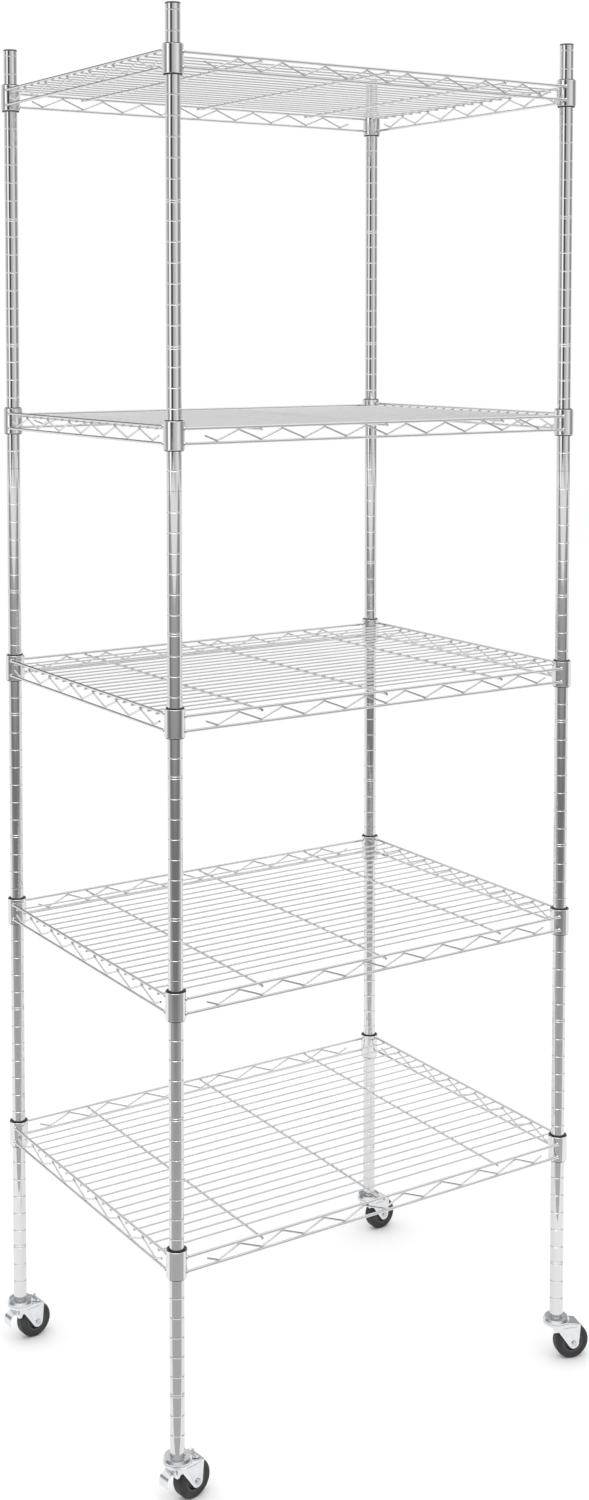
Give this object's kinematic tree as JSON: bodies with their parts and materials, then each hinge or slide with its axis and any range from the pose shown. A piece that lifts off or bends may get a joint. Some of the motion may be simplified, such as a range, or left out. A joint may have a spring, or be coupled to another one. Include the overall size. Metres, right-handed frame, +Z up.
{
  "type": "wire shelving rack",
  "caption": "Tall chromed wire shelving rack on swivel casters: grooved tube posts, truss-edged wire shelves that lift off split sleeves, and foot brakes on one side.",
  "frame": {"origin": "on the floor, under the middle of the whole footprint with the casters trailing to the right", "axes": "+Z up, +X along the long side of the shelves towards the side without brakes, +Y along the short side from front to back"},
  "size_m": [0.7021, 0.5036, 1.8794],
  "materials": {
    "post_chrome": "bright chrome plate",
    "wire_chrome": "bright chrome plate",
    "plug_steel": "zinc plated steel",
    "cap_plastic": "dark plastic",
    "sleeve_plastic": "moulded black plastic",
    "caster_zinc": "bright zinc plate",
    "axle_zinc": "bright zinc plate",
    "ball_steel": "polished steel",
    "tyre_rubber": "black rubber",
    "hub_plastic": "dark grey plastic"
  },
  "bodies": {
    "rack": {"post_fl_bottom": "post_chrome", "post_fl_middle": "post_chrome", "post_fl_top": "post_chrome", "post_fr_bottom": "post_chrome", "post_fr_middle": "post_chrome", "post_fr_top": "post_chrome", "post_bl_bottom": "post_chrome", "post_bl_middle": "post_chrome", "post_bl_top": "post_chrome", "post_br_bottom": "post_chrome", "post_br_middle": "post_chrome", "post_br_top": "post_chrome", "post_plugs": "plug_steel", "joint_studs": "plug_steel", "post_caps": "cap_plastic", "sleeves_1": "sleeve_plastic", "sleeves_2": "sleeve_plastic", "sleeves_3": "sleeve_plastic", "sleeves_4": "sleeve_plastic", "sleeves_5": "sleeve_plastic", "caster_stems": "caster_zinc", "swivel_balls": "ball_steel"},
    "shelf_1": {"shelf_1_collars": "wire_chrome", "shelf_1_frame": "wire_chrome", "shelf_1_deck_wires": "wire_chrome", "shelf_1_cross_wires": "wire_chrome"},
    "shelf_2": {"shelf_2_collars": "wire_chrome", "shelf_2_frame": "wire_chrome", "shelf_2_deck_wires": "wire_chrome", "shelf_2_cross_wires": "wire_chrome"},
    "shelf_3": {"shelf_3_collars": "wire_chrome", "shelf_3_frame": "wire_chrome", "shelf_3_deck_wires": "wire_chrome", "shelf_3_cross_wires": "wire_chrome"},
    "shelf_4": {"shelf_4_collars": "wire_chrome", "shelf_4_frame": "wire_chrome", "shelf_4_deck_wires": "wire_chrome", "shelf_4_cross_wires": "wire_chrome"},
    "shelf_5": {"shelf_5_collars": "wire_chrome", "shelf_5_frame": "wire_chrome", "shelf_5_deck_wires": "wire_chrome", "shelf_5_cross_wires": "wire_chrome"},
    "caster_fl": {"fork_fl": "caster_zinc", "axle_fl": "axle_zinc"},
    "wheel_fl": {"tyre_fl": "tyre_rubber", "hub_fl": "hub_plastic"},
    "caster_fr": {"fork_fr": "caster_zinc", "axle_fr": "axle_zinc"},
    "wheel_fr": {"tyre_fr": "tyre_rubber", "hub_fr": "hub_plastic"},
    "caster_bl": {"fork_bl": "caster_zinc", "axle_bl": "axle_zinc"},
    "wheel_bl": {"tyre_bl": "tyre_rubber", "hub_bl": "hub_plastic"},
    "caster_br": {"fork_br": "caster_zinc", "axle_br": "axle_zinc"},
    "wheel_br": {"tyre_br": "tyre_rubber", "hub_br": "hub_plastic"},
    "lever_fl": {"brake_lever_fl": "caster_zinc"},
    "lever_bl": {"brake_lever_bl": "caster_zinc"}
  },
  "joints": [
    {"name": "shelf_1_lift", "type": "slide", "parent": "rack", "child": "shelf_1", "axis": [0, 0, 1], "range_m": [0, 0.1]},
    {"name": "shelf_2_lift", "type": "slide", "parent": "rack", "child": "shelf_2", "axis": [0, 0, 1], "range_m": [0, 0.4198]},
    {"name": "shelf_3_lift", "type": "slide", "parent": "rack", "child": "shelf_3", "axis": [0, 0, 1], "range_m": [0, 0.3182]},
    {"name": "shelf_4_lift", "type": "slide", "parent": "rack", "child": "shelf_4", "axis": [0, 0, 1], "range_m": [0, 0.3182]},
    {"name": "shelf_5_lift", "type": "slide", "parent": "rack", "child": "shelf_5", "axis": [0, 0, 1], "range_m": [0, 0.2928]},
    {"name": "caster_fl_swivel", "type": "hinge", "parent": "rack", "child": "caster_fl", "pos_m": [-0.3265, -0.231, 0.054], "axis": [0, 0, 1], "continuous": true},
    {"name": "wheel_fl_roll", "type": "hinge", "parent": "caster_fl", "child": "wheel_fl", "pos_m": [-0.30422, -0.22787, 0.025], "axis": [-0.1392, 0.9903, 0], "continuous": true},
    {"name": "caster_fr_swivel", "type": "hinge", "parent": "rack", "child": "caster_fr", "pos_m": [0.304, -0.231, 0.054], "axis": [0, 0, 1], "continuous": true},
    {"name": "wheel_fr_roll", "type": "hinge", "parent": "caster_fr", "child": "wheel_fr", "pos_m": [0.32552, -0.23758, 0.025], "axis": [0.2924, 0.9563, 0], "continuous": true},
    {"name": "caster_bl_swivel", "type": "hinge", "parent": "rack", "child": "caster_bl", "pos_m": [-0.3265, 0.231, 0.054], "axis": [0, 0, 1], "continuous": true},
    {"name": "wheel_bl_roll", "type": "hinge", "parent": "caster_bl", "child": "wheel_bl", "pos_m": [-0.30417, 0.23374, 0.025], "axis": [-0.1219, 0.9925, 0], "continuous": true},
    {"name": "caster_br_swivel", "type": "hinge", "parent": "rack", "child": "caster_br", "pos_m": [0.304, 0.231, 0.054], "axis": [0, 0, 1], "continuous": true},
    {"name": "wheel_br_roll", "type": "hinge", "parent": "caster_br", "child": "wheel_br", "pos_m": [0.32647, 0.23218, 0.025], "axis": [-0.0523, 0.9986, 0], "continuous": true},
    {"name": "brake_lever_fl_press", "type": "hinge", "parent": "caster_fl", "child": "lever_fl", "pos_m": [-0.32947, -0.23142, 0.047], "axis": [0.1392, -0.9903, 0], "range_deg": [0, 5]},
    {"name": "brake_lever_bl_press", "type": "hinge", "parent": "caster_bl", "child": "lever_bl", "pos_m": [-0.32948, 0.23063, 0.047], "axis": [0.1219, -0.9925, 0], "range_deg": [0, 5]}
  ]
}
